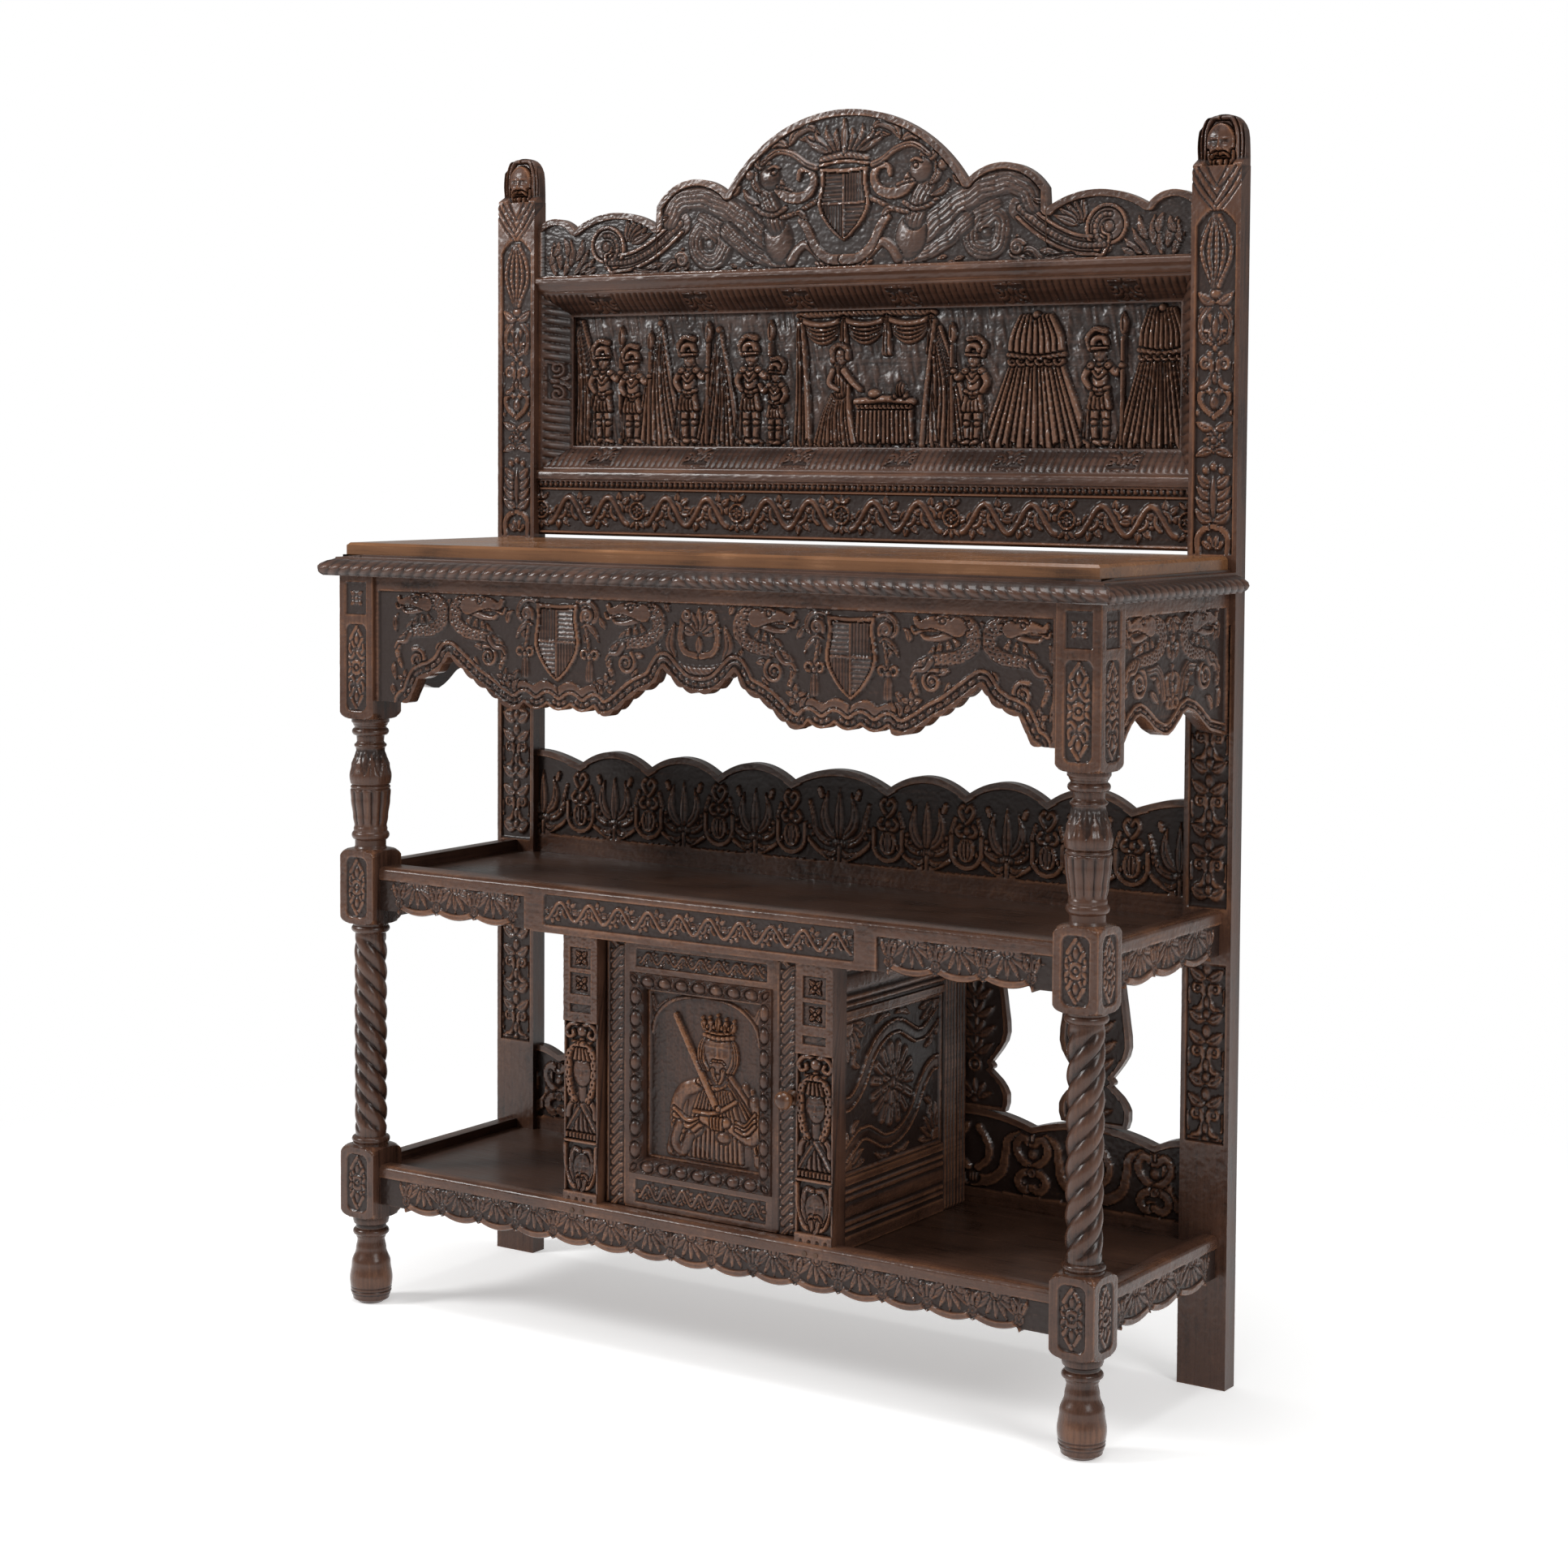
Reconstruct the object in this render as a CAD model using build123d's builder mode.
from build123d import *
import os

# Court cupboard in carved oak: turned front supports, a small central cupboard with one
# pivoted door, flat rear posts that rise into carved heads, and a carved, arched back.
# Millimetres.  +X is the cupboard's right, -Y its front, +Z up.
# The origin is on the floor, under the middle of the overall width and depth.

# ---------------------------------------------------------------- driving dimensions
front_width = 1280.0          # over the outer faces of the front supports
rear_post_back = 415.0        # from the front faces of the supports to the backs of the rear posts
block_side = 66.0             # square of the front supports' blocks
post_width = 73.0             # width of a rear post
post_thickness = 30.0
rear_width = 1288.0           # over the outer faces of the rear posts

foot_height = 132.0           # turned foot, from the floor to the first square block
foot_block_height = 110.0
twist_height = 338.0          # twisted column
mid_block_height = 114.0
baluster_height = 196.0       # cup and bulb above the middle shelf
upper_block_height = 217.0    # up to the underside of the cornice
lower_rail_drop = 26.0        # tops of the shelf rails below the tops of their blocks
mid_rail_drop = 25.0
post_above_crest_base = 120.0  # rear posts, up to the joint under their heads
head_height = 71.0

shelf_thickness = 16.0
lower_shelf_sink = 14.0       # boards below the tops of the rails round them
mid_shelf_sink = 17.0
top_board_thickness = 18.0
top_board_setback = 8.0       # front edge of the top board behind the support faces
top_board_bevel = 4.0
step_height = 7.0             # stepped fillet under the top board
step_reach = 4.0
ovolo_height = 24.0           # carved ovolo under the fillet
ovolo_reach = 24.0            # in front of the support faces
ovolo_foot = 17.0             # where its lower edge starts

rail_setback = 14.0           # faces of the shelf rails behind the support faces
rail_thickness = 26.0
mid_rail_ledge = 16.0         # stands behind the middle rail, under the boards and over the door
side_rail_setback = 10.0
mid_rail_depth = 68.0         # height of the rails on edge, to the bottoms of the lunettes
lower_rail_depth = 65.0
lunette_rise = 9.0            # from a lunette's lowest point up to its cusps
lunette_width = 69.7
mid_lunette_width = 72.0
side_lunette_width = 84.0
row_margin = 10.0             # least part lunette left at each end of a row
mid_row_end = 38.0            # plain rail between a row and what it dies into
pendant_radius = 4.9          # diamond drops under the cusps
rail_bevel = 6.0
side_rail_round = 4.0

apron_setback = 5.0
apron_thickness = 20.0
apron_centre = 15.0           # the carver's centre line, to the right of the middle
apron_end_depth = 187.0       # depths of the aprons are measured down from the cornice
apron_lobe_depth = 185.0
apron_cusp_depth = 175.0      # of the small scallops along a lobe
apron_drop_depth = 144.0
apron_peak_depth = 111.0

panel_setback = 10.0          # carved back boards behind the rear posts' front faces
back_board_thickness = 18.0
mid_back_height = 169.0       # above the shelf boards
mid_back_rise = 24.0
lower_back_height = 140.0
back_tuck = 22.0              # the boards run down behind the shelf boards
lower_back_rise = 17.0
splat_width = 111.0
splat_thickness = 12.0
splat_gap = 84.0              # between splats, and between the outer one and its post

upper_rail_gap = 5.0          # under the carved rail low in the superstructure
upper_rail_height = 89.0
frame_ledge = 13.0            # plain ledge under the framed scene
scene_height = 205.0
frame_width = 39.0            # of the splayed moulding round the scene
frame_recess = 43.0           # depth of its splay
scene_thickness = 16.0
crest_base_height = 22.0
crest_base_reach = 8.0
crest_end_rise = 90.0         # heights of the crest are measured up from its moulded base
crest_valley_x = 340.0
crest_valley_rise = 74.0
crest_shoulder_x = 209.0
crest_shoulder_rise = 119.0
crest_middle_rise = 142.0
crest_apex_rise = 233.0
low_arc_x = 400.0
low_arc_rise = 96.0
shoulder_step = 28.0
ear_half = 36.0               # half width of the small arch at each end

cupboard_half = 229.5         # outer half width over the pilasters
pilaster_width = 60.0
pilaster_setback = 20.0
pilaster_thickness = 36.0
cupboard_back_gap = 2.0
side_board_thickness = 12.0
side_board_recess = 4.0
side_frame_thickness = 18.0
side_bottom_rail = 102.0
side_top_rail = 80.0
side_stile_width = 62.0

door_setback = 36.0
door_thickness = 20.0
door_gap = 1.5
door_stile_width = 46.0
door_top_rail = 42.0
door_bottom_rail = 49.0
door_moulding_width = 24.0
door_moulding_stand = 7.0
door_moulding_bevel = 5.0
mitre_gap = 0.1
door_panel_thickness = 10.0
door_panel_recess = 8.0
pin_radius = 3.0
pin_inset = 10.0              # pin axis behind the door's face and in from its edge
pin_reach = 8.0               # into the door, and into the carcase
running_gap = 0.05
knob_rise = 192.5             # above the foot of the door
knob_from_edge = 12.0
knob_length = 34.0
knob_radius = 13.0
spindle_radius = 4.0
tongue_length = 26.0
tongue_width = 12.0
tongue_thickness = 5.0
peg_radius = 3.5
peg_length = 24.0
seat_gap = 0.1                # between a tenon or dowel and its socket
tenon_length = 16.0
tenon_width = 30.0
tenon_thickness = 10.0
dowel_radius = 11.0
dowel_length = 15.0

# ---------------------------------------------------------------- derived places
frame_back = rear_post_back - post_thickness + panel_setback + frame_recess + scene_thickness
front = -(frame_back - ovolo_reach) / 2     # Y of the supports' front faces
post_front = front + rear_post_back - post_thickness
post_back = front + rear_post_back
panel_face = post_front + panel_setback
scene_face = panel_face + frame_recess
half_front = front_width / 2
half_rear = rear_width / 2
inner_front = half_front - block_side       # inner faces of the front supports
inner_rear = half_rear - post_width
support_x = half_front - block_side / 2
support_y = front + block_side / 2
foot_block_top = foot_height + foot_block_height
mid_block_bottom = foot_block_top + twist_height
mid_block_top = mid_block_bottom + mid_block_height
upper_block_bottom = mid_block_top + baluster_height
ovolo_bottom = upper_block_bottom + upper_block_height
ovolo_top = ovolo_bottom + ovolo_height
step_top = ovolo_top + step_height
top_board_top = step_top + top_board_thickness
upper_rail_bottom = top_board_top + upper_rail_gap
frame_bottom = upper_rail_bottom + upper_rail_height
frame_foot = frame_bottom + frame_ledge
scene_bottom = frame_foot + frame_width
scene_top = scene_bottom + scene_height
frame_top = scene_top + frame_width
crest_base_top = frame_top + crest_base_height
rear_post_top = crest_base_top + post_above_crest_base
lower_rail_top = foot_block_top - lower_rail_drop
mid_rail_top = mid_block_top - mid_rail_drop
lower_shelf_top = lower_rail_top - lower_shelf_sink
mid_shelf_top = mid_rail_top - mid_shelf_sink
mid_shelf_bottom = mid_shelf_top - shelf_thickness
mid_rail_bottom = mid_rail_top - mid_rail_depth
lower_rail_bottom = lower_rail_top - lower_rail_depth
mid_back_top = mid_shelf_top + mid_back_height
mid_back_bottom = mid_shelf_top - back_tuck
lower_back_top = lower_shelf_top + lower_back_height
rail_face = front + rail_setback
rail_back = rail_face + rail_thickness
ledge_back = rail_back + mid_rail_ledge
side_rail_outer = half_front - side_rail_setback
side_rail_inner = side_rail_outer - rail_thickness
door_half = cupboard_half - pilaster_width - door_gap
door_bottom = lower_rail_top + door_gap
door_top = mid_rail_bottom - 2 * door_gap
door_face = front + door_setback
door_back = door_face + door_thickness
pin_x = -door_half + pin_inset
pin_y = door_face + pin_inset
knob_x = door_half - knob_from_edge
knob_height = door_bottom + knob_rise
pilaster_face = front + pilaster_setback
pilaster_back = pilaster_face + pilaster_thickness
pilaster_centre = cupboard_half - pilaster_width / 2
sides = {"left": -1, "right": 1}

os.makedirs("parts", exist_ok=True)


def save(piece, name):
    """Label a finished piece and write its STEP file."""
    piece.part.label = name
    export_step(piece.part, f"parts/{name}.step")


def scallops(start, width, count, low, rise):
    """Arcs of a row of lunettes, left to right, in the sketch plane in use."""
    for step in range(count):
        left = start + step * width
        ThreePointArc((left, low + rise), (left + width / 2, low), (left + width, low + rise))


def box_between(x0, x1, y0, y1, z0, z1, mode=Mode.ADD):
    """A block given by its two corners, for the builder in use."""
    with Locations(((x0 + x1) / 2, (y0 + y1) / 2, (z0 + z1) / 2)):
        Box(x1 - x0, y1 - y0, z1 - z0, mode=mode)


def lunette_edge(half, width, whole, low, rise, top):
    """Outline of a rail: flat top and ends, and a row of lunettes below, centred on zero."""
    row = width * whole / 2
    Line((-half, top), (half, top))
    Line((half, top), (half, low + rise / 2))
    ThreePointArc((half, low + rise / 2), ((half + row) / 2 + 2, low + rise / 3), (row, low + rise))
    scallops(-row, width, whole, low, rise)
    ThreePointArc((-row, low + rise), (-(half + row) / 2 - 2, low + rise / 3), (-half, low + rise / 2))
    Line((-half, low + rise / 2), (-half, top))


# ---------------------------------------------------------------- front supports
column_ring = 18.0            # plain turned ends above and below the twist
twist_radius = 24.0
twist_depth = 3.5
twist_strands = 4
twist_turns = 2.7
ring_radius = 28.5
block_end = 16.0              # height of a block's rounded ends, at its corners
block_shoulder = 3.5          # and at the middles of its sides
corner_reach = block_side * 0.72


def turned_block(z0, z1):
    """A square block whose two ends are turned to a curve that meets the round work."""
    with BuildSketch(Plane.XY.offset(z0)) as square:
        Rectangle(block_side, block_side)
    extrude(square.sketch, amount=z1 - z0)
    with BuildSketch(Plane.XZ) as ends:
        with BuildLine():
            Line((0, z0), (ring_radius, z0))
            ThreePointArc((ring_radius, z0), (block_side / 2, z0 + block_shoulder),
                          (corner_reach, z0 + block_end))
            Line((corner_reach, z0 + block_end), (corner_reach, z1 - block_end))
            ThreePointArc((corner_reach, z1 - block_end), (block_side / 2, z1 - block_shoulder),
                          (ring_radius, z1))
            Polyline((ring_radius, z1), (0, z1), (0, z0))
        make_face()
    revolve(ends.sketch, axis=Axis.Z, mode=Mode.INTERSECT)


def turned(points):
    """Revolve a radius and height profile, closed on the axis."""
    with BuildSketch(Plane.XZ) as profile:
        with BuildLine():
            Line((0, points[0][1]), points[0])
            Spline(*points)
            Polyline(points[-1], (0, points[-1][1]), (0, points[0][1]))
        make_face()
    revolve(profile.sketch, axis=Axis.Z)


def socket(z, direction):
    """A dowel hole cut upwards or downwards from a block's end."""
    with Locations((0, 0, z + direction * (dowel_length + 1) / 2)):
        Cylinder(dowel_radius + seat_gap, dowel_length + 1, mode=Mode.SUBTRACT)


def dowel(z, direction):
    """A dowel that stands out of a turning's end."""
    with Locations((0, 0, z + direction * dowel_length / 2)):
        Cylinder(dowel_radius, dowel_length)


def lobed_section(z):
    """Four-strand section of the twist."""
    points = []
    for step in range(twist_strands * 2):
        radius = twist_radius if step % 2 == 0 else twist_radius - twist_depth
        angle = 180.0 / twist_strands * step
        points.append(Vector(radius, 0).rotate(Axis.Z, angle))
    with BuildSketch(Plane.XY.offset(z)) as section:
        with BuildLine():
            Spline(*points, periodic=True)
        make_face()
    return section.sketch.face()


for side, sign in sides.items():
    place = Location((sign * support_x, support_y, 0))

    with BuildPart() as lower_block:
        turned_block(foot_height, foot_block_top)

    with BuildPart() as foot:
        below = foot_height
        turned([(21.0, 0), (29.0, 12), (32.5, 34), (29.0, 62), (22.5, below - 46), (21.0, below - 36)])
        turned([(21.0, below - 36), (23.5, below - 32), (27.0, below - 26), (27.0, below - 20),
                (25.0, below - 14)])
        turned([(25.0, below - 14), (28.0, below - 9), (28.5, below - 4), (27.5, below)])
        add(lower_block.part)
        socket(foot_block_top, -1)
    foot.part.locate(place)
    save(foot, f"front_foot_{side}")

    with BuildPart() as column:
        ring_low = foot_block_top + column_ring
        ring_high = mid_block_bottom - column_ring
        turned([(27.0, foot_block_top), (28.5, foot_block_top + 7), (25.0, foot_block_top + 11),
                (24.5, ring_low)])
        turned([(24.5, ring_high), (25.0, mid_block_bottom - 12), (28.8, mid_block_bottom - 7),
                (27.0, mid_block_bottom)])
        twist_length = ring_high - ring_low
        add(Solid.extrude_linear_with_rotation(
            lobed_section(ring_low), (0, 0, ring_low), (0, 0, twist_length), sign * 360 * twist_turns))
        dowel(foot_block_top, -1)
        dowel(mid_block_bottom, 1)
    column.part.locate(place)
    save(column, f"twist_column_{side}")

    with BuildPart() as mid_block:
        turned_block(mid_block_bottom, mid_block_top)
        socket(mid_block_bottom, 1)
        socket(mid_block_top, -1)
    mid_block.part.locate(place)
    save(mid_block, f"mid_block_{side}")

    with BuildPart() as baluster:
        above = mid_block_top
        below = upper_block_bottom
        turned([(25.0, above), (27.5, above + 10), (27.5, above + 22), (24.0, above + 30)])
        turned([(24.0, above + 30), (25.0, above + 38), (28.0, above + 58), (30.3, above + 84),
                (28.5, above + 91)])
        turned([(28.5, above + 91), (30.5, above + 103), (31.0, above + 111), (28.0, below - 70),
                (23.0, below - 52), (22.0, below - 42)])
        turned([(22.0, below - 42), (23.0, below - 39), (20.5, below - 34), (21.0, below - 28),
                (27.0, below - 22), (27.0, below - 17), (24.2, below - 11), (28.5, below - 5),
                (28.5, below)])
        dowel(mid_block_top, -1)
        dowel(upper_block_bottom, 1)
    baluster.part.locate(place)
    save(baluster, f"cup_baluster_{side}")

    with BuildPart() as upper_block:
        turned_block(upper_block_bottom, ovolo_bottom + 20)
        box_between(-block_side, block_side, -block_side, block_side, ovolo_bottom, ovolo_bottom + 30,
                    Mode.SUBTRACT)
        socket(upper_block_bottom, 1)
    upper_block.part.locate(place)
    save(upper_block, f"upper_block_{side}")


# ---------------------------------------------------------------- rear posts and their heads
head_neck = 27.0              # half width at the bottom of a head
head_cheek = 33.0
head_temple = 26.4
temple_drop = 12.0
neck_height = 16.0

for side, sign in sides.items():
    outer = sign * half_rear
    inner = sign * inner_rear

    with BuildPart() as rear_post:
        box_between(min(outer, inner), max(outer, inner), post_front, post_back, 0, rear_post_top)
    save(rear_post, f"rear_post_{side}")

    with BuildPart() as head:
        middle = (outer + inner) / 2
        crown = rear_post_top + head_height
        with BuildSketch(Plane.XZ.offset(-post_back)):
            with BuildLine():
                neck = rear_post_top + neck_height
                temple = crown - temple_drop
                Polyline((middle + head_neck, neck), (middle + post_width / 2, rear_post_top),
                         (middle - post_width / 2, rear_post_top), (middle - head_neck, neck))
                ThreePointArc((middle - head_neck, neck), (middle - head_cheek, crown - head_cheek),
                              (middle - head_temple, temple))
                ThreePointArc((middle - head_temple, temple), (middle, crown), (middle + head_temple, temple))
                ThreePointArc((middle + head_temple, temple), (middle + head_cheek, crown - head_cheek),
                              (middle + head_neck, neck))
            make_face()
        extrude(amount=post_thickness)
        with BuildSketch(Plane.YZ.offset(middle - post_width)):
            with BuildLine():
                Polyline((post_front, crown - post_thickness / 2), (post_front, rear_post_top),
                         (post_back, rear_post_top), (post_back, crown - post_thickness / 2))
                ThreePointArc((post_back, crown - post_thickness / 2),
                              ((post_front + post_back) / 2, crown), (post_front, crown - post_thickness / 2))
            make_face()
        extrude(amount=2 * post_width, mode=Mode.INTERSECT)
    save(head, f"head_finial_{side}")

# ---------------------------------------------------------------- carved back of the upper stage
ear_centre = inner_rear - ear_half
crest_end = crest_base_top + crest_end_rise
crest_valley = crest_base_top + crest_valley_rise
crest_shoulder = crest_base_top + crest_shoulder_rise
crest_middle_top = crest_base_top + crest_middle_rise
crest_apex = crest_base_top + crest_apex_rise
low_arc_top = crest_base_top + low_arc_rise
end_drop = 10.0
scene_fit = 0.1               # the splay is cut this far inside the mitred lengths

with BuildPart() as lettered_rail:
    box_between(-inner_rear, inner_rear, panel_face, panel_face + back_board_thickness,
                upper_rail_bottom, frame_bottom)
save(lettered_rail, "upper_rail")

with BuildPart() as scene_panel:
    box_between(-inner_rear, inner_rear, scene_face, scene_face + scene_thickness, frame_foot, frame_top)
save(scene_panel, "scene_panel")

scene_half = inner_rear - frame_width
frame_corners = {
    "frame_moulding_top": [(-inner_rear, frame_top), (inner_rear, frame_top), (scene_half, scene_top),
                           (-scene_half, scene_top)],
    "frame_moulding_bottom": [(-inner_rear, frame_foot), (inner_rear, frame_foot),
                              (scene_half, scene_bottom), (-scene_half, scene_bottom)],
    "frame_moulding_left": [(-inner_rear, frame_top), (-scene_half, scene_top),
                            (-scene_half, scene_bottom), (-inner_rear, frame_foot)],
    "frame_moulding_right": [(inner_rear, frame_top), (scene_half, scene_top),
                             (scene_half, scene_bottom), (inner_rear, frame_foot)],
}
for name, corners in frame_corners.items():
    with BuildPart() as moulding:
        with BuildSketch(Plane.XZ.offset(-scene_face)):
            with BuildLine():
                Polyline(*corners, close=True)
            make_face()
        extrude(amount=frame_recess)
        with BuildSketch(Plane.XZ.offset(-scene_face)) as opening:
            with Locations((0, (scene_top + scene_bottom) / 2)):
                Rectangle(2 * (scene_half - scene_fit), scene_height - 2 * scene_fit)
        with BuildSketch(Plane.XZ.offset(-panel_face)) as mouth:
            with Locations((0, (frame_top + frame_foot) / 2)):
                Rectangle(2 * inner_rear - 8, frame_top - frame_foot - 8)
        loft([opening.sketch.face(), mouth.sketch.face()], mode=Mode.SUBTRACT)
        if name == "frame_moulding_bottom":
            box_between(-inner_rear, inner_rear, panel_face - 4, scene_face, frame_bottom, frame_foot)
    save(moulding, name)

with BuildPart() as crest_rail:
    with BuildSketch(Plane.YZ.offset(-inner_rear)):
        with BuildLine():
            back = panel_face + back_board_thickness
            Polyline((back, frame_top), (panel_face, frame_top),
                     (panel_face - crest_base_reach * 0.4, frame_top + 4))
            ThreePointArc((panel_face - crest_base_reach * 0.4, frame_top + 4),
                          (panel_face - crest_base_reach * 0.6, frame_top + 9),
                          (panel_face - crest_base_reach, frame_top + 13))
            Polyline((panel_face - crest_base_reach, frame_top + 13),
                     (panel_face - crest_base_reach, crest_base_top - 3),
                     (panel_face, crest_base_top), (back, crest_base_top), (back, frame_top))
        make_face()
    extrude(amount=2 * inner_rear)
save(crest_rail, "crest_rail")


def crest_half(sign):
    """One half of the crest's arched top, from the rear post to the shoulder of the middle arch."""
    ThreePointArc((sign * inner_rear, crest_end - end_drop), (sign * ear_centre, crest_end + 2),
                  (sign * (ear_centre - ear_half), crest_valley))
    ThreePointArc((sign * (ear_centre - ear_half), crest_valley), (sign * low_arc_x, low_arc_top),
                  (sign * crest_valley_x, crest_valley))
    Line((sign * crest_valley_x, crest_valley), (sign * crest_valley_x, crest_valley + shoulder_step))
    ThreePointArc((sign * crest_valley_x, crest_valley + shoulder_step),
                  (sign * (crest_valley_x + crest_shoulder_x) / 2, crest_middle_top),
                  (sign * crest_shoulder_x, crest_shoulder))


with BuildPart() as crest_board:
    with BuildSketch(Plane.XZ.offset(-(panel_face + back_board_thickness))):
        with BuildLine():
            crest_half(-1)
            ThreePointArc((-crest_shoulder_x, crest_shoulder), (0, crest_apex),
                          (crest_shoulder_x, crest_shoulder))
            crest_half(1)
            Polyline((inner_rear, crest_end - end_drop), (inner_rear, crest_base_top),
                     (-inner_rear, crest_base_top), (-inner_rear, crest_end - end_drop))
        make_face()
    extrude(amount=back_board_thickness)
save(crest_board, "crest_board")

# ---------------------------------------------------------------- top board, cornice and aprons
cornice_depth = 40.0
cornice_end = half_front + ovolo_reach
board_half = half_front - top_board_setback
rear_rail_depth = 78.0
rear_rail_thickness = 24.0

with BuildPart() as top_board:
    box_between(-board_half, board_half, front + top_board_setback, post_front, step_top, top_board_top)
    upper_edges = top_board.edges().group_by(Axis.Z)[-1]
    chamfer(upper_edges.filter_by(lambda edge: edge.center().Y < post_front - 1), top_board_bevel)
    box_between(-inner_rear, inner_rear, post_front, post_front + rear_rail_thickness,
                step_top, top_board_top)
save(top_board, "top_board")

with BuildPart() as rear_rail:
    box_between(-inner_rear, inner_rear, post_front, post_front + rear_rail_thickness,
                step_top - rear_rail_depth, step_top)
save(rear_rail, "top_rear_rail")


def cornice_profile(face, outward):
    """Stepped fillet over a rounded ovolo; face is the plane of the supports' outer faces."""
    def at(reach, height):
        return (face + outward * reach, height)
    step_middle = ovolo_top + step_height / 2
    Polyline(at(step_reach * 2, ovolo_top), at(step_reach, ovolo_top), at(step_reach, step_middle),
             at(-step_reach, step_middle), at(-step_reach, step_top), at(-cornice_depth, step_top),
             at(-cornice_depth, ovolo_bottom), at(ovolo_foot, ovolo_bottom))
    ThreePointArc(at(ovolo_foot, ovolo_bottom), at(ovolo_reach, ovolo_bottom + ovolo_height * 0.42),
                  at(step_reach * 2, ovolo_top))


with BuildPart() as cornice_front:
    with BuildSketch(Plane.YZ.offset(-cornice_end)):
        with BuildLine():
            cornice_profile(front, -1)
        make_face()
    extrude(amount=2 * cornice_end)
    for sign in sides.values():
        with BuildSketch(Plane.XY.offset(ovolo_bottom - 1)):
            with BuildLine():
                Polyline((sign * (half_front - cornice_depth - 1), front + cornice_depth + 1),
                         (sign * (cornice_end + 1), front - ovolo_reach - 1),
                         (sign * (cornice_end + 1), front + cornice_depth + 1), close=True)
            make_face()
        extrude(amount=step_top - ovolo_bottom + 2, mode=Mode.SUBTRACT)
save(cornice_front, "cornice_front")

for side, sign in sides.items():
    with BuildPart() as cornice_side:
        with BuildSketch(Plane.XZ.offset(-post_front)):
            with BuildLine():
                cornice_profile(sign * half_front, sign)
            make_face()
        extrude(amount=post_front - front + ovolo_reach)
        with BuildSketch(Plane.XY.offset(ovolo_bottom - 1)):
            with BuildLine():
                Polyline((sign * (half_front - cornice_depth - 1), front + cornice_depth + 1),
                         (sign * (cornice_end + 1), front - ovolo_reach - 1),
                         (sign * (half_front - cornice_depth - 1), front - ovolo_reach - 1), close=True)
            make_face()
        extrude(amount=step_top - ovolo_bottom + 2, mode=Mode.SUBTRACT)
    save(cornice_side, f"cornice_{side}")

# outline of half of the front apron, from the middle drop to a front support
apron_half = [(60.0, apron_peak_depth), (78.0, 137.0), (112.0, 153.0), (152.0, 182.0),
              (166.0, apron_lobe_depth)]
first_scallop = 181.0
last_scallop = inner_front - 268.0
scallop_width = 41.7
# its outer ogee and peak: distance in from the end of the longer half, and depth
apron_outer = [(244.0, 184.0), (214.0, 169.0), (194.0, 156.0), (163.0, 138.0), (126.0, apron_peak_depth + 1),
               (92.0, 143.0), (70.0, 150.0), (61.0, 165.0)]
apron_outer = [(inner_front - inset, depth) for inset, depth in apron_outer]


def apron_side(sign):
    """Lower edge of the front apron from the drop out to a support."""
    def at(x, depth):
        return (apron_centre + sign * x, ovolo_bottom - depth)
    end_x = sign * inner_front
    ThreePointArc(at(0, apron_drop_depth), at(34, apron_drop_depth - 9), at(*apron_half[0]))
    Spline(*[at(*p) for p in apron_half])
    bulge = apron_lobe_depth - 1
    lobe_middle = (apron_half[-1][0] + first_scallop) / 2
    ThreePointArc(at(*apron_half[-1]), at(lobe_middle, bulge), at(first_scallop, apron_cusp_depth))
    count = round((last_scallop - first_scallop) / scallop_width)
    width = (last_scallop - first_scallop) / count
    for step in range(count):
        x = first_scallop + step * width
        ThreePointArc(at(x, apron_cusp_depth), at(x + width / 2, bulge), at(x + width, apron_cusp_depth))
    end_arc_middle = (last_scallop + apron_outer[0][0]) / 2
    ThreePointArc(at(last_scallop, apron_cusp_depth), at(end_arc_middle, bulge - 2), at(*apron_outer[0]))
    Spline(*[at(*p) for p in apron_outer[:5]])
    Spline(*[at(*p) for p in apron_outer[4:]])
    Line(at(*apron_outer[-1]), (end_x, ovolo_bottom - apron_end_depth))
    Line((end_x, ovolo_bottom - apron_end_depth), (end_x, ovolo_bottom))


with BuildPart() as front_apron:
    with BuildSketch(Plane.XZ.offset(-(front + apron_setback + apron_thickness))):
        with BuildLine():
            apron_side(1)
            apron_side(-1)
            Line((-inner_front, ovolo_bottom), (inner_front, ovolo_bottom))
        make_face()
    extrude(amount=apron_thickness)
save(front_apron, "front_apron")

# lower edge of a side apron: distance behind the support faces, and depth below the cornice
side_apron_edge = [(72.0, 186.0), (97.0, 160.0), (122.0, 150.0), (150.0, 163.0), (175.0, 176.0),
                   (203.0, 182.0), (228.0, 170.0), (262.0, 152.0), (300.0, 167.0), (330.0, 185.0)]
side_apron_back_depth = 196.0
side_apron_front_depth = 189.0
for side, sign in sides.items():
    outer = sign * (half_front - apron_setback)
    with BuildPart() as side_apron:
        with BuildSketch(Plane.YZ.offset(min(outer, outer - sign * apron_thickness))):
            with BuildLine():
                edge = [(front + y, ovolo_bottom - depth) for y, depth in side_apron_edge]
                back_corner = (post_front, ovolo_bottom - side_apron_back_depth)
                Polyline(back_corner, (post_front, ovolo_bottom), (front + block_side, ovolo_bottom),
                         (front + block_side, ovolo_bottom - side_apron_front_depth), edge[0])
                Spline(*edge)
                Line(edge[-1], back_corner)
            make_face()
        extrude(amount=apron_thickness)
    save(side_apron, f"side_apron_{side}")

# ---------------------------------------------------------------- shelf rails
pilaster_pegs = [sign * (pilaster_centre + offset) for sign in (-1, 1) for offset in (-9.0, 9.0)]
peg_height = lower_rail_top - 13.0
tenon_y = pilaster_face + 8.0
drop_inset = 6.0              # the drops are thinner than the rail
lower_lunettes = 2 * int((inner_front - row_margin) / lunette_width - 0.5) + 1


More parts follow.
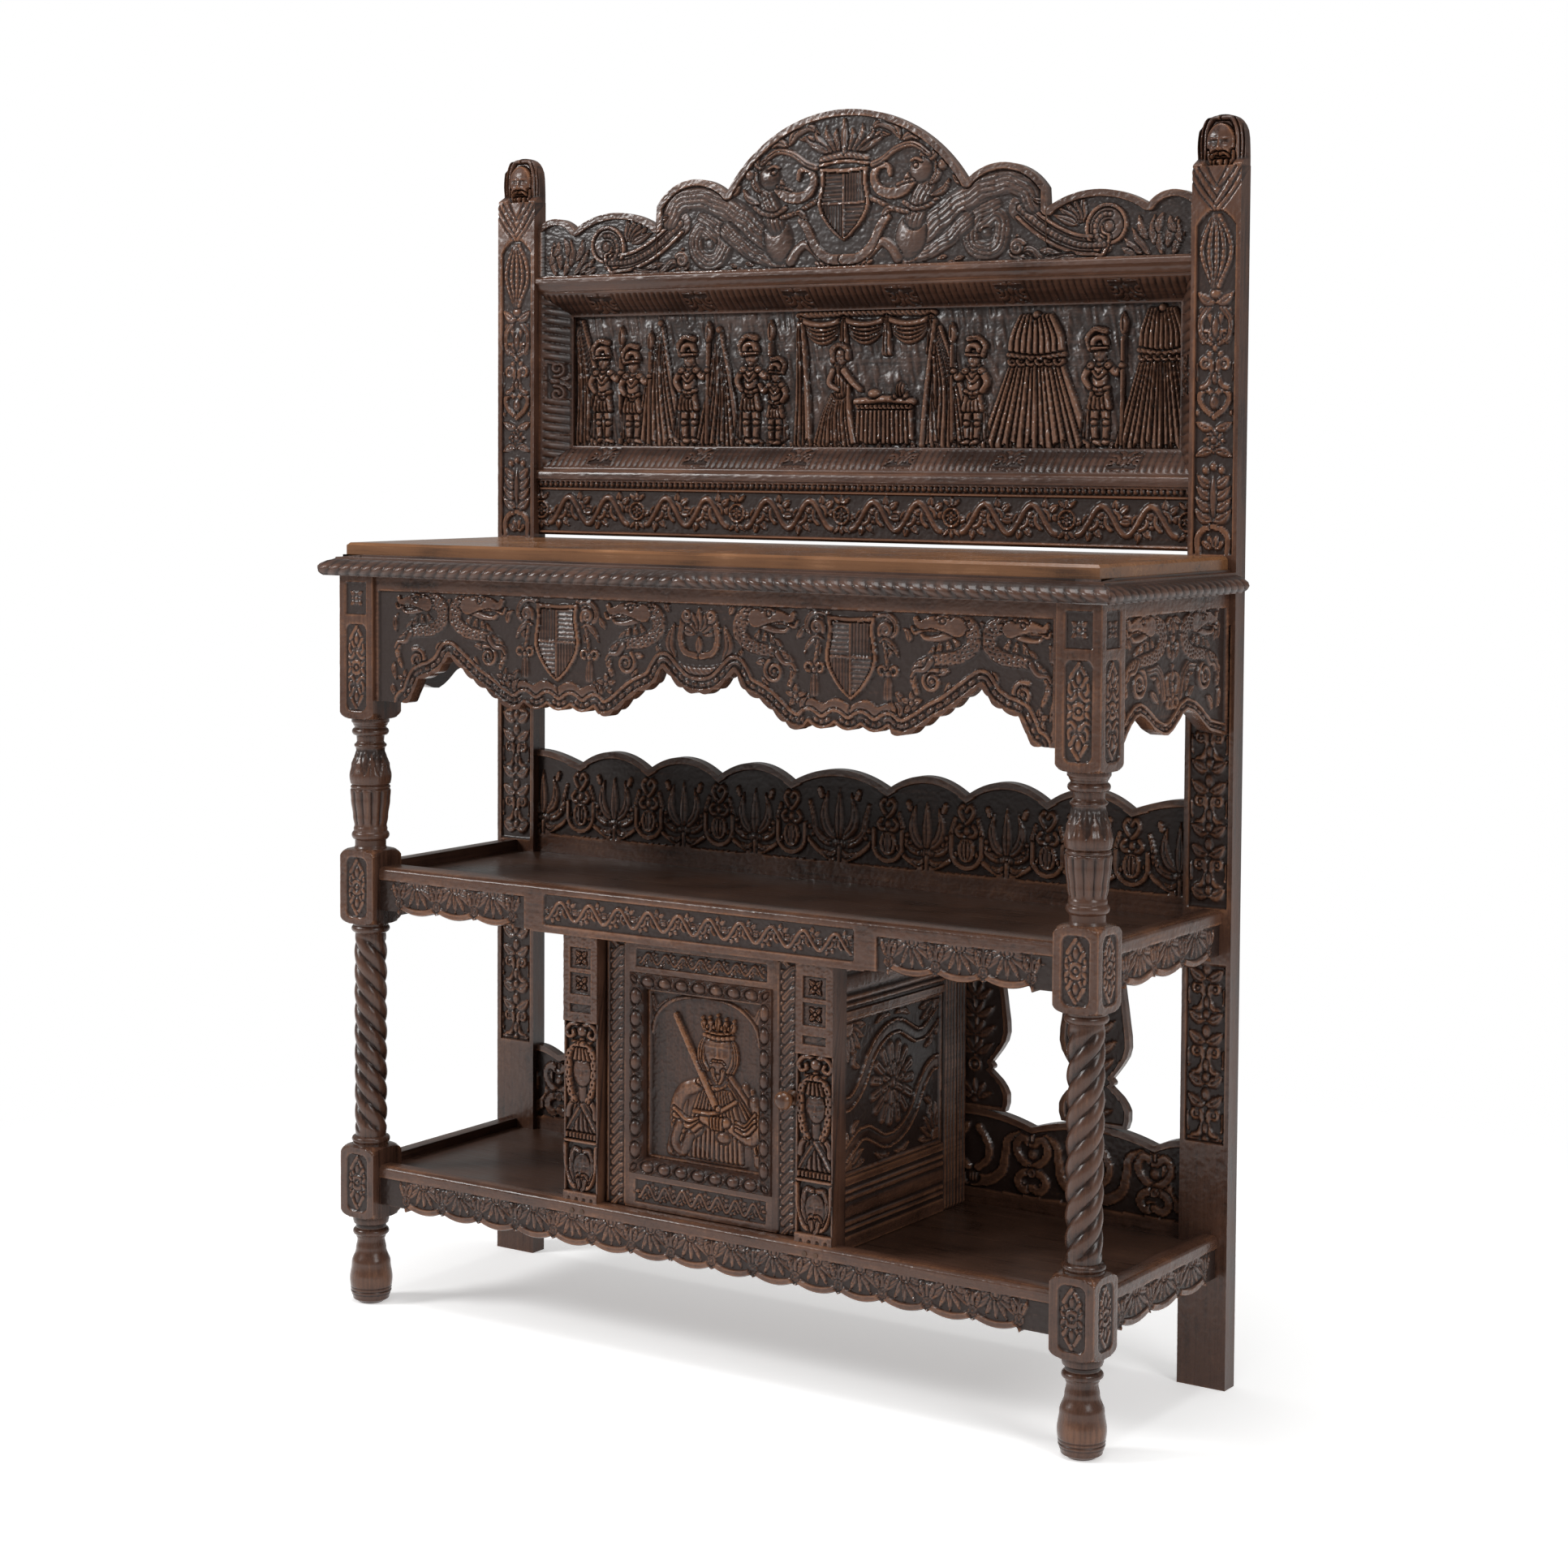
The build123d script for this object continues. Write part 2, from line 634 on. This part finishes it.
def drops(cusps, height):
    """Small diamond drops under the cusps of a front rail, for the sketch in use."""
    for x in cusps:
        with Locations((x, height)):
            RegularPolygon(pendant_radius, 4)


with BuildPart() as lower_front_rail:
    with BuildSketch(Plane.XZ.offset(-rail_back)):
        with BuildLine():
            lunette_edge(inner_front, lunette_width, lower_lunettes, lower_rail_bottom, lunette_rise,
                         lower_rail_top)
        make_face()
    extrude(amount=rail_thickness)
    with BuildSketch(Plane.XZ.offset(-(rail_back - drop_inset))):
        drops([(step - lower_lunettes / 2) * lunette_width for step in range(lower_lunettes + 1)],
              lower_rail_bottom + lunette_rise - 1)
    extrude(amount=rail_thickness - 2 * drop_inset)
    chamfer(lower_front_rail.edges().filter_by(Axis.X).group_by(Axis.Z)[-1].sort_by(Axis.Y)[0], rail_bevel)
    for x in pilaster_pegs:
        with Locations(Location((x, rail_face + rail_thickness / 2, peg_height), (90, 0, 0))):
            Cylinder(peg_radius + seat_gap, rail_thickness + 2, mode=Mode.SUBTRACT)
    for sign in sides.values():
        middle = sign * pilaster_centre
        box_between(middle - tenon_width / 2 - seat_gap, middle + tenon_width / 2 + seat_gap,
                    tenon_y - seat_gap, tenon_y + tenon_thickness + seat_gap,
                    lower_rail_top - tenon_length - 1, lower_rail_top + 1, Mode.SUBTRACT)
save(lower_front_rail, "lower_front_rail")

with BuildPart() as mid_front_rail:
    row_room = inner_front - cupboard_half - 2 * mid_row_end - row_margin
    mid_lunettes = int(row_room / mid_lunette_width)
    row = mid_lunettes * mid_lunette_width
    row_start = inner_front - mid_row_end - row
    cusp = mid_rail_bottom + lunette_rise
    with BuildSketch(Plane.XZ.offset(-ledge_back)):
        with BuildLine():
            Line((-inner_front, mid_rail_top), (inner_front, mid_rail_top))
            for sign in sides.values():
                Line((sign * inner_front, mid_rail_top), (sign * inner_front, cusp - 4))
                row_end = row_start + row
                ThreePointArc((sign * inner_front, cusp - 4), (sign * (row_end + 16), mid_rail_bottom + 3),
                              (sign * row_end, cusp))
                for step in range(mid_lunettes):
                    x = row_start + step * mid_lunette_width
                    ThreePointArc((sign * x, cusp), (sign * (x + mid_lunette_width / 2), mid_rail_bottom),
                                  (sign * (x + mid_lunette_width), cusp))
                ThreePointArc((sign * row_start, cusp), (sign * (row_start - 16), mid_rail_bottom + 2),
                              (sign * (row_start - mid_row_end), mid_rail_bottom))
            plain_half = row_start - mid_row_end
            Line((-plain_half, mid_rail_bottom), (plain_half, mid_rail_bottom))
        make_face()
    extrude(amount=rail_thickness + mid_rail_ledge)
    box_between(-half_front, half_front, rail_back, ledge_back + 1, mid_shelf_bottom, mid_rail_top + 1,
                Mode.SUBTRACT)
    fillet(mid_front_rail.edges().filter_by(Axis.X).group_by(Axis.Z)[-1].sort_by(Axis.Y)[0], rail_bevel)
    with BuildSketch(Plane.XZ.offset(-(ledge_back - drop_inset))):
        drops([sign * (row_start + step * mid_lunette_width) for sign in (-1, 1)
               for step in range(mid_lunettes + 1)], cusp - 1)
    extrude(amount=rail_thickness + mid_rail_ledge - 2 * drop_inset)
    with Locations((pin_x, pin_y, mid_rail_bottom + pin_reach / 2)):
        Cylinder(pin_radius + seat_gap, pin_reach + 1, mode=Mode.SUBTRACT)
save(mid_front_rail, "mid_front_rail")

rear_gap = post_front - front - block_side
side_lunettes = int((rear_gap - 2 * row_margin) / side_lunette_width)
for side, sign in sides.items():
    outer = sign * side_rail_outer
    inner = sign * side_rail_inner
    side_levels = {"lower": (lower_rail_bottom, lower_rail_top), "mid": (mid_rail_bottom, mid_rail_top)}
    for level, (low, top) in side_levels.items():
        with BuildPart() as side_rail:
            middle_y = (front + block_side + post_front) / 2
            with BuildSketch(Plane((min(outer, inner), middle_y, 0), x_dir=(0, 1, 0), z_dir=(1, 0, 0))):
                with BuildLine():
                    lunette_edge(rear_gap / 2, side_lunette_width, side_lunettes, low, lunette_rise, top)
                make_face()
            extrude(amount=rail_thickness)
            fillet(side_rail.edges().filter_by(Axis.Y).group_by(Axis.Z)[-1], side_rail_round)
        save(side_rail, f"{level}_side_rail_{side}")

# ---------------------------------------------------------------- shelves
front_plank_width = 190.0
plank_gap = 0.5


def shelf(top, pin_hole):
    """Two planks behind a front rail, notched round the four uprights."""
    plank_joint = rail_back + front_plank_width
    bottom = top - shelf_thickness
    box_between(-side_rail_inner, side_rail_inner, rail_back, plank_joint, bottom, top)
    box_between(-side_rail_inner, side_rail_inner, plank_joint + plank_gap, panel_face, bottom, top)
    for sign in sides.values():
        post = sign * (inner_front - seat_gap)
        box_between(min(post, sign * half_front), max(post, sign * half_front), front - 1,
                    front + block_side + seat_gap, bottom - 1, top + 1, Mode.SUBTRACT)
        post = sign * (inner_rear - seat_gap)
        box_between(min(post, sign * half_rear), max(post, sign * half_rear), post_front - seat_gap,
                    panel_face + 1, bottom - 1, top + 1, Mode.SUBTRACT)
    if pin_hole:
        with Locations((pin_x, pin_y, top - pin_reach / 2)):
            Cylinder(pin_radius + seat_gap, pin_reach + 1, mode=Mode.SUBTRACT)


with BuildPart() as lower_shelf:
    shelf(lower_shelf_top, True)
save(lower_shelf, "lower_shelf")

with BuildPart() as mid_shelf:
    shelf(mid_shelf_top, False)
save(mid_shelf, "mid_shelf")

# ---------------------------------------------------------------- carved boards behind the shelves
# cusps either side of the middle: the first one's place, and the steps that follow
mid_back_first, mid_back_step = 85.0, 133.4
lower_back_first, lower_back_step = 137.0, 195.0
least_end_arch = 40.0
end_arc_share = 0.8


def cusp_places(first, step):
    """Cusps to the right of the middle, as many as leave room for a part arch at the post."""
    return [first + step * index for index in range(1 + int((inner_rear - first - least_end_arch) / step))]


def arched_top(cusps, cusp_z, rise):
    """A row of arches across the back: a wide one in the middle, part arches at the posts."""
    marks = [-x for x in reversed(cusps)] + cusps
    for left, right in zip(marks, marks[1:]):
        ThreePointArc((left, cusp_z), ((left + right) / 2, cusp_z + rise), (right, cusp_z))
    for sign in sides.values():
        x = cusps[-1]
        ThreePointArc((sign * x, cusp_z), (sign * (x + (inner_rear - x) * 0.45), cusp_z + rise * 0.6),
                      (sign * inner_rear, cusp_z + rise * end_arc_share))


def carved_back(cusps, bottom, top, rise):
    """Outline of a carved back board between the rear posts."""
    arched_top(cusps, top - rise, rise)
    shoulder = top - rise + rise * end_arc_share
    Polyline((-inner_rear, shoulder), (-inner_rear, bottom), (inner_rear, bottom), (inner_rear, shoulder))


with BuildPart() as mid_back_panel:
    with BuildSketch(Plane.XZ.offset(-(panel_face + back_board_thickness))):
        with BuildLine():
            carved_back(cusp_places(mid_back_first, mid_back_step), mid_back_bottom, mid_back_top,
                        mid_back_rise)
        make_face()
    extrude(amount=back_board_thickness)
save(mid_back_panel, "mid_back_panel")

with BuildPart() as lower_back_panel:
    with BuildSketch(Plane.XZ.offset(-(panel_face + back_board_thickness))):
        with BuildLine():
            carved_back(cusp_places(lower_back_first, lower_back_step), lower_shelf_top - back_tuck,
                        lower_back_top, lower_back_rise)
        make_face()
    extrude(amount=back_board_thickness)
save(lower_back_panel, "lower_back_panel")

# half outline of a splat: half width and height above its foot
splat_half = splat_width / 2
splat_shape = [(splat_half, 12.0), (splat_half, 26.0), (44.0, 44.0), (27.0, 58.0)]
splat_neck = [(27.0, 58.0), (32.0, 61.0), (32.0, 66.0), (28.0, 69.0)]
splat_height = mid_back_bottom - lower_back_top
splat_body = [(28.0, 69.0), (44.0, 90.0), (splat_half, 116.0), (52.0, 150.0), (46.0, 190.0), (38.0, 245.0),
              (34.0, splat_height - 3)]
for side, sign in sides.items():
    with BuildPart() as splats:
        for index in range(2):
            middle = sign * (inner_rear - (index + 1) * splat_gap - (index + 0.5) * splat_width)
            foot_z = lower_back_top
            with BuildSketch(Plane.XZ.offset(-(panel_face + splat_thickness))):
                with BuildLine():
                    for hand in (-1, 1):
                        Line((middle, foot_z), (middle + hand * (splat_half - 4), foot_z))
                        Line((middle + hand * (splat_half - 4), foot_z),
                             (middle + hand * splat_shape[0][0], foot_z + splat_shape[0][1]))
                        Spline(*[(middle + hand * x, foot_z + z) for x, z in splat_shape])
                        Polyline(*[(middle + hand * x, foot_z + z) for x, z in splat_neck])
                        Spline(*[(middle + hand * x, foot_z + z) for x, z in splat_body])
                        top_half = hand * splat_body[-1][0]
                        Polyline((middle + top_half, foot_z + splat_body[-1][1]),
                                 (middle + top_half, mid_back_bottom), (middle, mid_back_bottom))
                make_face()
            extrude(amount=splat_thickness)
    save(splats, f"back_splats_{side}")

# ---------------------------------------------------------------- the small cupboard
cupboard_back_face = post_front - cupboard_back_gap
back_thickness = 10.0
plinth_height = 14.0
cap_height = 118.0            # square block at a pilaster's head
term_recess = 6.0

for side, sign in sides.items():
    middle = sign * pilaster_centre
    with BuildPart() as pilaster:
        left, right = middle - pilaster_width / 2, middle + pilaster_width / 2
        box_between(left, right, pilaster_face + term_recess, pilaster_back, lower_rail_top, mid_rail_bottom)
        box_between(left, right, rail_back, pilaster_back, lower_shelf_top, lower_rail_top)
        box_between(left, right, pilaster_face, pilaster_back, mid_rail_bottom - cap_height, mid_rail_bottom)
        box_between(left, right, pilaster_face, pilaster_back, lower_rail_top, lower_rail_top + plinth_height)
        box_between(middle - tenon_width / 2, middle + tenon_width / 2, tenon_y, tenon_y + tenon_thickness,
                    lower_rail_top - tenon_length, lower_rail_top)
        for x in pilaster_pegs:
            with Locations(Location((x, tenon_y + tenon_thickness / 2, peg_height), (90, 0, 0))):
                Cylinder(peg_radius + seat_gap, tenon_thickness + 2, mode=Mode.SUBTRACT)
    save(pilaster, f"pilaster_{side}")

    outer = sign * cupboard_half
    stile_front = cupboard_back_face - side_stile_width
    with BuildPart() as stile:
        inner = outer - sign * side_frame_thickness
        box_between(min(outer, inner), max(outer, inner), stile_front, cupboard_back_face,
                    lower_shelf_top, mid_shelf_bottom)
    save(stile, f"cupboard_stile_{side}")

    with BuildPart() as side_rails:
        for low, high in ((lower_shelf_top, lower_shelf_top + side_bottom_rail),
                          (mid_rail_bottom - side_top_rail, mid_shelf_bottom)):
            box_between(min(outer, inner), max(outer, inner), pilaster_back, stile_front, low, high)
    save(side_rails, f"cupboard_side_rails_{side}")

    with BuildPart() as side_board:
        skin = outer - sign * side_board_recess
        core = skin - sign * side_board_thickness
        box_between(min(skin, core), max(skin, core), pilaster_back, stile_front,
                    lower_shelf_top + side_bottom_rail, mid_rail_bottom - side_top_rail)
    save(side_board, f"cupboard_side_panel_{side}")

with BuildPart() as cupboard_back:
    back_half = cupboard_half - side_frame_thickness
    box_between(-back_half, back_half, cupboard_back_face - back_thickness, cupboard_back_face,
                lower_shelf_top, mid_shelf_bottom)
save(cupboard_back, "cupboard_back")

with BuildPart() as pegs:
    for x in pilaster_pegs:
        with Locations(Location((x, rail_face + peg_length / 2 - 1, peg_height), (90, 0, 0))):
            Cylinder(peg_radius, peg_length)
save(pegs, "pilaster_pegs")

# ---------------------------------------------------------------- the door
door_opening = door_half - door_stile_width
opening_bottom = door_bottom + door_bottom_rail
opening_top = door_top - door_top_rail
panel_front = door_face + door_panel_recess

for side, sign in sides.items():
    with BuildPart() as door_stile:
        box_between(min(sign * door_half, sign * door_opening), max(sign * door_half, sign * door_opening),
                    door_face, door_back, door_bottom, door_top)
        if side == "left":
            corner = door_stile.edges().filter_by(Axis.Z).sort_by(Axis.X)[:2].sort_by(Axis.Y)[0]
            fillet(corner, pin_inset - 0.2)
            for z in (door_bottom, door_top):
                with Locations((pin_x, pin_y, z)):
                    Cylinder(pin_radius + running_gap, 2 * pin_reach + 2, mode=Mode.SUBTRACT)
        else:
            with Locations(Location((knob_x, door_face + door_thickness / 2, knob_height), (90, 0, 0))):
                Cylinder(spindle_radius + running_gap, door_thickness + 2, mode=Mode.SUBTRACT)
    save(door_stile, f"door_stile_{side}")

with BuildPart() as door_rails:
    box_between(-door_opening, door_opening, door_face, door_back, door_bottom, opening_bottom)
    box_between(-door_opening, door_opening, door_face, door_back, opening_top, door_top)
save(door_rails, "door_rails")

with BuildPart() as door_panel:
    box_between(-door_opening, door_opening, panel_front, panel_front + door_panel_thickness,
                opening_bottom, opening_top)
save(door_panel, "door_panel")

with BuildPart() as door_moulding:
    middle_z = (opening_top + opening_bottom) / 2
    with BuildSketch(Plane.XZ.offset(-panel_front)):
        with Locations((0, middle_z)):
            Rectangle(2 * door_opening, opening_top - opening_bottom)
            Rectangle(2 * (door_opening - door_moulding_width),
                      opening_top - opening_bottom - 2 * door_moulding_width, mode=Mode.SUBTRACT)
    extrude(amount=door_panel_recess + door_moulding_stand)
    chamfer(door_moulding.faces().sort_by(Axis.Y)[0].edges(), door_moulding_bevel)
    mitre_x = door_opening - door_moulding_width / 2
    mitre_z = (opening_top - opening_bottom - door_moulding_width) / 2
    for across, up in ((-1, -1), (-1, 1), (1, -1), (1, 1)):
        corner = (across * mitre_x, panel_front, middle_z + up * mitre_z)
        with Locations(Location(corner, (0, -45 * across * up, 0))):
            Box(3 * door_moulding_width, 3 * door_thickness, mitre_gap, mode=Mode.SUBTRACT)
save(door_moulding, "door_moulding")

with BuildPart() as hinge_pins:
    for z0, z1 in ((lower_shelf_top - pin_reach, door_bottom + pin_reach),
                   (door_top - pin_reach, mid_rail_bottom + pin_reach)):
        with Locations((pin_x, pin_y, (z0 + z1) / 2)):
            Cylinder(pin_radius, z1 - z0)
save(hinge_pins, "door_pins")

knob_gap = 0.4
with BuildPart() as knob:
    with BuildSketch(Plane.XY) as knob_half:
        with BuildLine():
            Polyline((0, -knob_length), (3.5, -knob_length + 1))
            Spline((3.5, -knob_length + 1), (7.0, -knob_length + 6), (5.2, -knob_length + 11))
            Spline((5.2, -knob_length + 11), (11.0, -knob_length + 14), (knob_radius, -knob_length + 20),
                   (9.0, -knob_length + 27), (7.5, -knob_gap))
            Polyline((7.5, -knob_gap), (spindle_radius, -knob_gap),
                     (spindle_radius, door_thickness + knob_gap + tongue_thickness),
                     (0, door_thickness + knob_gap + tongue_thickness), (0, -knob_length))
        make_face()
    revolve(knob_half.sketch, axis=Axis.Y)
knob.part.locate(Location((knob_x, door_face, knob_height)))
save(knob, "door_knob")

with BuildPart() as tongue:
    with BuildSketch(Plane.XZ.offset(-(door_back + knob_gap + tongue_thickness))):
        with BuildLine():
            low = knob_height - tongue_length + tongue_width / 2
            Line((knob_x - tongue_width / 2, low), (knob_x - tongue_width / 2, knob_height))
            ThreePointArc((knob_x - tongue_width / 2, knob_height), (knob_x, knob_height + tongue_width / 2),
                          (knob_x + tongue_width / 2, knob_height))
            Line((knob_x + tongue_width / 2, knob_height), (knob_x + tongue_width / 2, low))
            ThreePointArc((knob_x + tongue_width / 2, low), (knob_x, low - tongue_width / 2),
                          (knob_x - tongue_width / 2, low))
        make_face()
        with Locations((knob_x, knob_height)):
            Circle(spindle_radius, mode=Mode.SUBTRACT)
    extrude(amount=tongue_thickness)
save(tongue, "latch_tongue")
